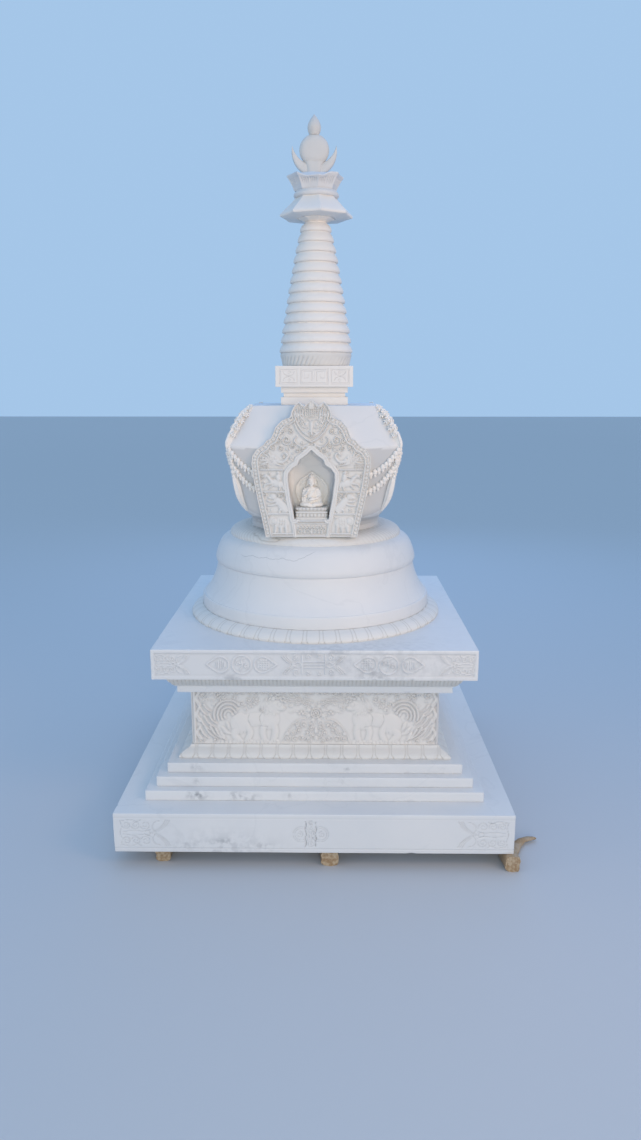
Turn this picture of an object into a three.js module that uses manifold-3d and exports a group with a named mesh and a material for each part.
// A white marble stupa of about 2.44 m, standing on three rough timber bearers.
// Millimetres, +Z up, front towards -Y. The origin lies on the ground, under the middle of the
// base slab. From the ground up: bearers, square base slab, three steps, a carved die between two
// lotus courses, a cornice slab, a round drum between two lotus rings, the vase with its niche,
// a square harmika, thirteen spire rings, an eight-sided umbrella and crown, moon, sun and flame.
import * as THREE from "three";
import { mergeVertices } from "three/addons/utils/BufferGeometryUtils.js";
import Module from "manifold-3d";

const wasm = await Module();
wasm.setup();

// Gap that one piece keeps to the piece it is cut to fit.
const SEAT_GAP = 0.3;

// Timber bearers: billets laid front to back under the base slab. Each has the [x, y] of the
// middle of its front end and of its back end.
const BEARER = { height: 55, taper: 6, chamfer: 9 };
const BEARERS = {
  bearer_left: { width: 60, front: [-499, -620], back: [-470, 612] },
  bearer_middle: { width: 70, front: [52, -642], back: [-44, 604] },
  bearer_right: { width: 59, front: [646, -668], back: [560, 620] },
};
// Side branch left on the right bearer, in plan, and the heights between which it lies.
const STUB_OUTLINE = [[640, -640], [676, -648], [681, -620], [693, -562], [706, -529],
  [719, -515], [749, -501], [768, -486], [764, -468], [716, -478], [690, -497], [672, -530],
  [655, -580]];
const STUB = { bottom: 1, top: 27 };

// Square courses: half the width across the flats, and the height.
const ARRIS = 2.5;
const BASE_SLAB = { half: 650, height: 137 };
const STEP_HALVES = { step_lower: 562.5, step_middle: 530.5, step_upper: 498.5 };
const STEP_HEIGHT = 34.5;
const DIE = { half: 424, height: 203 };
const FILLET = { half: 462, height: 23.5 };
const CORNICE = { half: 531, height: 102.5 };

// Lotus courses and rings, as a distance from the axis and a height above their own bed.
const LOWER_LOTUS = [[463, 0], [465, 6], [459, 15], [446, 23], [433, 29], [428, 36.5]];
const UPPER_LOTUS = [[465, 0], [474, 8], [484, 20], [491, 33], [494, 42], [492, 46.5]];
const DRUM_LOTUS = [[467, 0], [469, 7], [463, 17], [450, 27], [430, 34.5]];
const VASE_LOTUS = [[318, 0], [317, 10], [306, 22], [286, 31], [262, 35]];

// Drum profiles.
const FOOT_BAND = [[424, 0], [426, 3], [426, 40], [423, 44]];
const BELL = [[419, 0], [411, 10], [399, 27], [386, 52], [375, 80], [366, 117]];
const CAP = [[366, 0], [371, 4], [374, 13], [373, 25], [366, 49], [354, 75], [340, 91], [318, 102]];
const ROUND_SIDES = 48;

// Vase: half width, height above its bed, and how square the level outline is, where 2 is round.
const VASE = [[242, 0, 2], [240, 20, 2], [241, 44, 2.2], [243, 60, 3.5], [246, 74, 10],
  [254, 120, 11], [263, 165, 12], [273, 210, 13], [283, 252, 15], [290.5, 295, 18], [226, 433, 9]];
const VASE_HEIGHT = 433;
const VASE_SIDES = 48;

// Niche: the frame stands in front of the vase, and the hollow runs on into the vase.
const NICHE = { front: -306, frameBack: -250, hollowBack: -214 };
const FRAME_OUTLINE = [[155, -5], [168, 60], [180, 115], [192, 181], [200, 244], [197, 270],
  [182, 292], [160, 306], [148, 322], [134, 328], [126, 345], [118, 365], [98, 386], [70, 398],
  [65, 416], [56, 434], [42, 447], [22, 434], [0, 457]];
const OPENING_FLOOR = 57;
const OPENING_OUTLINE = [[58, 57], [62, 83], [70, 123], [79, 191], [77, 212], [64, 229],
  [46, 240], [40, 257], [14, 276], [0, 290]];

// Carved throne, figure and pointed halo inside the niche.
const THRONE = { half: 55, height: 38, front: -292, back: -218 };
const HALO = { back: -215, thickness: 12 };
const HALO_OUTLINE = [[38, 0], [49, 22], [57, 50], [54, 76], [40, 98], [18, 116], [0, 132]];
const FIGURE_SEAT = -256;

// Garland at each corner of the vase: outline in the upright plane through the corner, as a
// distance from the axis and a height above the bed of the vase.
const GARLAND_WIDTH = 27;
const GARLAND_OUTER = [[304, 436], [344, 418], [366, 402], [377, 384], [393, 360], [402, 342],
  [412, 314], [412, 300], [407, 276], [400, 250], [393, 217], [389, 185], [380, 147], [372, 124],
  [357, 102], [343, 84], [331, 76]];
const GARLAND_INNER = [[280, 76], [240, 436]];
const SWAG = { radius: 8, sides: 5, steps: 8, hang: 156, near: 283, far: 0.4, proud: 2.5 };
const QUARTER = 300;
const SWAG_DROPS = [{ end: 290, low: 200 }, { end: 254, low: 142 }];

// Harmika courses: half width and height.
const HARMIKA = {
  harmika_foot: { half: 117.5, height: 27 },
  harmika_neck: { half: 108.5, height: 14.5 },
  harmika_step: { half: 117, height: 20 },
  harmika_block: { half: 135, height: 71.5 },
};
const HARMIKA_ARRIS = 1.5;

// Spire: lotus ring, then thirteen rings that grow smaller upwards.
const SPIRE_LOTUS = [[116, 0], [121, 4], [124, 22], [128, 38], [126, 46.5]];
const SPIRE_RADII = [131, 126.1, 121.2, 115.3, 109.4, 103.6, 97.7, 91.5, 85, 78.8, 71.6, 63.8, 55];
const SPIRE_PITCH = 33.8;
const SPIRE_SIDES = 20;

// Umbrella, bead, crown, moon, sun and flame. The corners of the umbrella and the crown lie a
// little past the front, turned to the right.
const UMBRELLA = [[46, 0], [46, 10], [56, 12], [57, 20], [123, 20], [128, 25], [128, 31], [112, 42],
  [94, 57], [80, 70], [73.5, 77.5]];
const BEAD = [[70, 0], [76, 3], [79, 8], [79, 13], [76, 18], [70, 21]];
const CROWN = [[71, 0], [74, 5], [77, 17], [83, 30], [91, 40], [98, 44], [99, 52], [90, 50]];
const CORNER_TURN = THREE.MathUtils.degToRad(8);
const MOON = { half: 75, height: 97, sill: 37, thickness: 26 };
const SUN = { radius: 51, thickness: 44, centre: 87 };
const FLAME = [[14, 0], [21, 7], [23, 18], [20, 29], [13, 40], [6, 51]];
const FLAME_HEIGHT = 61;
const FLAME_BED = 134;

// The blocks are stacked dry, and each stage lies a few millimetres off the middle of the base.
const OFFSET = { drum: -5, vase: -5, niche: -13, harmika: -6, spire: -2, umbrella: 0, crown: -4,
  finial: -7 };

const marble = new THREE.MeshStandardMaterial({ color: 0xdcdbd8, roughness: 0.55, metalness: 0 });
const timber = new THREE.MeshStandardMaterial({ color: 0xa07c58, roughness: 0.85, metalness: 0 });

const stupa = new THREE.Group();

function add(name, geometry, height = 0, offset = 0, material = marble) {
  const mesh = new THREE.Mesh(geometry, material);
  mesh.name = name;
  mesh.position.set(offset, 0, height);
  stupa.add(mesh);
}

// Solids for joining and cutting, and back.
function solid(geometry) {
  const bare = geometry.clone();
  bare.deleteAttribute("normal");
  bare.deleteAttribute("uv");
  const merged = mergeVertices(bare, 1e-3);
  return new wasm.Manifold(
    new wasm.Mesh({
      numProp: 3,
      vertProperties: merged.attributes.position.array,
      triVerts: new Uint32Array(merged.index.array),
    }),
  );
}

function geometryOf(made) {
  const mesh = made.getMesh();
  const geometry = new THREE.BufferGeometry();
  geometry.setAttribute("position", new THREE.BufferAttribute(mesh.vertProperties, 3));
  geometry.setIndex(new THREE.BufferAttribute(mesh.triVerts, 1));
  return geometry;
}

// A piece turned about the upright axis from [radius, height] points, listed upwards.
function turned(profile, sides, start = 0) {
  const first = profile[0];
  const last = profile[profile.length - 1];
  const points = [[0, first[1]], ...profile, [0, last[1]]].map(([r, z]) => new THREE.Vector2(r, z));
  return new THREE.LatheGeometry(points, sides, start).rotateX(Math.PI / 2);
}

// A square course from [half width, height] points.
function squared(profile) {
  const corners = profile.map(([half, z]) => [half * Math.SQRT2, z]);
  return turned(corners, 4, Math.PI / 4);
}

// A square block with small arrises along its edges.
function block(half, height, arris = ARRIS) {
  return squared([[half - arris, 0], [half, arris], [half, height - arris], [half - arris, height]]);
}

// An upright plate: an outline of [x, z] points, from its back plane forwards to its front plane.
function plate(outline, back, front) {
  const shape = new THREE.Shape(outline.map(([x, z]) => new THREE.Vector2(x, z)));
  const made = new THREE.ExtrudeGeometry(shape, { depth: back - front, bevelEnabled: false });
  return made.rotateX(Math.PI / 2).translate(0, back, 0);
}

// An outline given for x >= 0 from the bottom up, completed by its mirror image.
function mirrored(outline) {
  const left = outline.filter(([x]) => x > 0).map(([x, z]) => [-x, z]).reverse();
  return [...outline, ...left];
}

// Half width and squareness of the vase at a height above its bed.
function vaseAt(z) {
  const above = Math.max(1, VASE.findIndex((row) => row[1] >= z));
  const [low, high] = [VASE[above - 1], VASE[above]];
  const share = (z - low[1]) / (high[1] - low[1]);
  return { half: low[0] + share * (high[0] - low[0]), power: low[2] + share * (high[2] - low[2]) };
}

// The vase: a turned piece whose level outlines change from a circle to a square. A margin
// above 0 makes it that much fatter, for cutting the pieces that lie against it.
function vase(margin = 0) {
  const made = turned(VASE.map(([half, z]) => [half + margin, z]), VASE_SIDES);
  const at = made.attributes.position;
  for (let i = 0; i < at.count; i++) {
    const radius = Math.hypot(at.getX(i), at.getY(i));
    if (radius < 1) continue;
    const { half, power } = vaseAt(at.getZ(i));
    const spread = (part) => {
      const size = Math.abs(part) < 1e-6 ? 0 : Math.abs(part) ** (2 / power);
      return Math.sign(part) * size * (half + margin);
    };
    at.setXY(i, spread(at.getX(i) / radius), spread(at.getY(i) / radius));
  }
  return made;
}

// A ball of three radii, placed by its centre.
function ball(radii, centre, across = 12, up = 6) {
  const made = new THREE.SphereGeometry(1, across, up).rotateX(Math.PI / 2);
  return made.scale(...radii).translate(...centre);
}

// A limb between two points, thick in the middle and round at its ends.
function limb(from, to, radius) {
  const a = new THREE.Vector3(...from);
  const b = new THREE.Vector3(...to);
  const made = new THREE.CapsuleGeometry(radius, a.distanceTo(b), 1, 6);
  const along = b.clone().sub(a).normalize();
  made.applyQuaternion(new THREE.Quaternion().setFromUnitVectors(new THREE.Vector3(0, 1, 0), along));
  return made.translate(...a.add(b).multiplyScalar(0.5).toArray());
}

// A billet with chamfered long edges, hewn a little narrower at its ends.
function billet({ width, front, back }) {
  const { height, chamfer, taper } = BEARER;
  const half = width / 2;
  const section = [[chamfer - half, 0], [half - chamfer, 0], [half, chamfer],
    [half, height - chamfer], [half - chamfer, height], [chamfer - half, height],
    [-half, height - chamfer], [-half, chamfer]];
  const made = new THREE.ExtrudeGeometry(
    new THREE.Shape(section.map(([x, z]) => new THREE.Vector2(x, z))),
    { depth: back[1] - front[1], steps: 4, bevelEnabled: false },
  );
  made.rotateX(Math.PI / 2).translate(0, back[1], 0);
  const at = made.attributes.position;
  for (let i = 0; i < at.count; i++) {
    const share = (at.getY(i) - front[1]) / (back[1] - front[1]);
    const narrow = 1 - (taper / width) * Math.abs(2 * share - 1) ** 3;
    at.setX(i, at.getX(i) * narrow + front[0] + share * (back[0] - front[0]));
  }
  return made;
}

// The right bearer still has the stub of a side branch, which curls out past the slab.
function billetWithStub(place) {
  const shape = new THREE.Shape(STUB_OUTLINE.map(([x, y]) => new THREE.Vector2(x, y)));
  const stub = new THREE.ExtrudeGeometry(shape, { depth: STUB.top - STUB.bottom, bevelEnabled: false });
  return geometryOf(solid(billet(place)).add(solid(stub.translate(0, 0, STUB.bottom))));
}

// A figure seated with crossed legs and its hands in its lap, built of plain round masses.
function seatedFigure() {
  const y = FIGURE_SEAT;
  const parts = [
    ball([40, 21, 11], [0, y - 2, 10]),
    ball([25, 16, 17], [0, y + 4, 22]),
    ball([21, 13, 28], [0, y + 4, 47]),
    ball([24, 11, 10], [0, y + 4, 65]),
    ball([11.5, 12, 15], [0, y + 2, 88.5]),
    ball([7.5, 7.5, 6.5], [0, y + 3, 103.5]),
    limb([-23, y + 3, 62], [-27, y - 2, 34], 6),
    limb([23, y + 3, 62], [27, y - 2, 34], 6),
    limb([-26, y - 3, 33], [-5, y - 16, 24], 5.5),
    limb([26, y - 3, 33], [5, y - 16, 24], 5.5),
    limb([0, y + 3, 66], [0, y + 3, 80], 6),
  ];
  const whole = parts.map((part) => solid(part)).reduce((a, b) => a.add(b));
  const below = solid(new THREE.BoxGeometry(200, 200, 100).translate(0, y, -50));
  return geometryOf(whole.subtract(below));
}

// One strand of beads on the front of the vase, from its right corner to the middle of the face.
function swagStrand({ end, low }) {
  const { hang, near, far, steps, sides, radius, proud } = SWAG;
  const points = Array.from({ length: steps + 1 }, (_, i) => {
    const x = near + ((far - near) * i) / steps;
    const z = low + (end - low) * Math.min(1, Math.abs(x - hang) / (near - hang)) ** 2;
    const { half, power } = vaseAt(z);
    const y = -((half ** power - Math.min(x, half * 0.985) ** power) ** (1 / power));
    return new THREE.Vector3(x, y - proud, z);
  });
  const section = new THREE.Shape(
    Array.from({ length: sides }, (_, i) => {
      const angle = (2 * Math.PI * i) / sides;
      return new THREE.Vector2(radius * Math.cos(angle), radius * Math.sin(angle));
    }),
  );
  const path = new THREE.CatmullRomCurve3(points);
  return new THREE.ExtrudeGeometry(section, { steps, extrudePath: path, bevelEnabled: false });
}

// Garland of the front right corner: the carved chain down the corner edge, the sash below it,
// and two strands of beads on each of the two faces that meet there.
function cornerGarland() {
  const outline = [...GARLAND_OUTER, ...GARLAND_INNER];
  const fin = plate(outline, GARLAND_WIDTH / 2, -GARLAND_WIDTH / 2).rotateZ(-Math.PI / 4);
  const mirror = new THREE.Matrix4().set(0, -1, 0, 0, -1, 0, 0, 0, 0, 0, 1, 0, 0, 0, 0, 1);
  let whole = solid(fin);
  for (const drop of SWAG_DROPS) {
    const strand = solid(swagStrand(drop));
    whole = whole.add(strand).add(strand.transform(mirror.elements));
  }
  const quarter = new THREE.BoxGeometry(2 * QUARTER, 2 * QUARTER, 2 * VASE_HEIGHT);
  const clear = QUARTER + SEAT_GAP / 2;
  return whole.intersect(solid(quarter.translate(clear, -clear, VASE_HEIGHT / 2)));
}

// Crescent moon: its outer edge is an arc from tip to tip, its inner edge a flatter arc.
function crescent() {
  const { half, height, sill } = MOON;
  const arc = (low) => {
    const rise = height - low;
    const radius = (half * half + rise * rise) / (2 * rise);
    const reach = Math.atan2(half, radius - rise);
    return { middle: low + radius, radius, reach: rise > radius ? reach : Math.asin(half / radius) };
  };
  const outline = [];
  const outer = arc(0);
  const inner = arc(sill);
  for (let i = 0; i <= 20; i++) {
    const angle = outer.reach * (i / 10 - 1);
    outline.push([outer.radius * Math.sin(angle), outer.middle - outer.radius * Math.cos(angle)]);
  }
  for (let i = 1; i < 16; i++) {
    const angle = inner.reach * (1 - i / 8);
    outline.push([inner.radius * Math.sin(angle), inner.middle - inner.radius * Math.cos(angle)]);
  }
  return plate(outline, MOON.thickness / 2, -MOON.thickness / 2);
}

// The sun: a flattened ball, which sits in the crescent and carries the flame. A margin above 0
// makes it that much larger, for cutting its two neighbours.
function sun(margin = 0) {
  const { radius, thickness, centre } = SUN;
  const radii = [radius + margin, thickness / 2 + margin, radius + margin];
  return new THREE.SphereGeometry(1, 20, 10).scale(...radii).translate(0, 0, centre);
}

// Assembly, from the ground up.
for (const [name, place] of Object.entries(BEARERS)) {
  const made = name === "bearer_right" ? billetWithStub(place) : billet(place);
  add(name, made, 0, 0, timber);
}

let level = BEARER.height;
function lay(name, geometry, height, offset = 0) {
  add(name, geometry, level, offset);
  level += height;
}
const top = (profile) => profile[profile.length - 1][1];

lay("base_slab", block(BASE_SLAB.half, BASE_SLAB.height), BASE_SLAB.height);
for (const [name, half] of Object.entries(STEP_HALVES)) {
  lay(name, block(half, STEP_HEIGHT), STEP_HEIGHT);
}
lay("lower_lotus_course", squared(LOWER_LOTUS), top(LOWER_LOTUS));
lay("carved_die", block(DIE.half, DIE.height), DIE.height);
lay("fillet_course", block(FILLET.half, FILLET.height), FILLET.height);
lay("upper_lotus_course", squared(UPPER_LOTUS), top(UPPER_LOTUS));
lay("cornice_slab", block(CORNICE.half, CORNICE.height), CORNICE.height);

const DRUM = {
  drum_lotus_ring: DRUM_LOTUS,
  drum_foot_band: FOOT_BAND,
  drum_bell: BELL,
  drum_cap: CAP,
  vase_lotus_ring: VASE_LOTUS,
};
for (const [name, profile] of Object.entries(DRUM)) {
  lay(name, turned(profile, ROUND_SIDES), top(profile), OFFSET.drum);
}

// The vase stage. Its pieces are made about the axis of the vase and above the bed of the vase.
const bed = level;
const aside = OFFSET.niche - OFFSET.vase;
const placeNiche = (geometry) => solid(geometry.translate(aside, 0, 0));
const hollow = placeNiche(plate(mirrored(OPENING_OUTLINE), NICHE.hollowBack, NICHE.front - 10));
const fatRing = turned(VASE_LOTUS.map(([r, z]) => [r + SEAT_GAP, z + SEAT_GAP]), ROUND_SIDES);
const lotusTop = solid(fatRing.translate(0, 0, -top(VASE_LOTUS)));
const fatVase = solid(vase(SEAT_GAP));
const frame = placeNiche(plate(mirrored(FRAME_OUTLINE), NICHE.frameBack, NICHE.front));
add("vase_body", geometryOf(solid(vase()).subtract(hollow)), bed, OFFSET.vase);
const frameCut = frame.subtract(fatVase).subtract(hollow).subtract(lotusTop);
add("niche_frame", geometryOf(frameCut), bed, OFFSET.vase);

// What stands inside the niche, from its floor up.
const floor = bed + OPENING_FLOOR;
const throne = new THREE.BoxGeometry(2 * THRONE.half, THRONE.back - THRONE.front, THRONE.height);
throne.translate(0, (THRONE.back + THRONE.front) / 2, THRONE.height / 2);
const halo = plate(mirrored(HALO_OUTLINE), HALO.back, HALO.back - HALO.thickness);
add("niche_throne", throne, floor, OFFSET.niche);
add("seated_figure", seatedFigure(), floor + THRONE.height, OFFSET.niche);
add("figure_halo", halo, floor + THRONE.height, OFFSET.niche);

// Garlands on the four corners, which stop short of the niche frame.
const garland = cornerGarland().subtract(fatVase);
const fatOutline = mirrored(FRAME_OUTLINE).map(([x, z]) => [x + Math.sign(x) * SEAT_GAP, z]);
const fatFrame = placeNiche(plate(fatOutline, NICHE.frameBack + SEAT_GAP, NICHE.front - SEAT_GAP));
["front_right", "back_right", "back_left", "front_left"].forEach((corner, i) => {
  const made = garland.rotate([0, 0, 90 * i]).subtract(fatFrame);
  add("corner_garland_" + corner, geometryOf(made), bed, OFFSET.vase);
});
level += VASE_HEIGHT;

for (const [name, { half, height }] of Object.entries(HARMIKA)) {
  lay(name, block(half, height, HARMIKA_ARRIS), height, OFFSET.harmika);
}
lay("spire_lotus", turned(SPIRE_LOTUS, SPIRE_SIDES), top(SPIRE_LOTUS), OFFSET.spire);
SPIRE_RADII.forEach((radius, i) => {
  const name = "spire_ring_" + String(i + 1).padStart(2, "0");
  const profile = [[radius - 10, 0], [radius, 6], [radius - 7, SPIRE_PITCH - 3],
    [radius - 10, SPIRE_PITCH]];
  lay(name, turned(profile, SPIRE_SIDES), SPIRE_PITCH, OFFSET.spire);
});
lay("umbrella", turned(UMBRELLA, 8, CORNER_TURN), top(UMBRELLA), OFFSET.umbrella);
lay("umbrella_bead", turned(BEAD, SPIRE_SIDES), top(BEAD), OFFSET.umbrella);
lay("crown", turned(CROWN, 8, CORNER_TURN), top(CROWN), OFFSET.crown);
const fatSun = solid(sun(SEAT_GAP));
add("moon", geometryOf(solid(crescent()).subtract(fatSun)), level, OFFSET.finial);
add("sun", sun(), level, OFFSET.finial);
const flame = solid(turned([...FLAME, [1.5, FLAME_HEIGHT]], 12).translate(0, 0, FLAME_BED));
add("flame", geometryOf(flame.subtract(fatSun)), level, OFFSET.finial);

export default stupa;
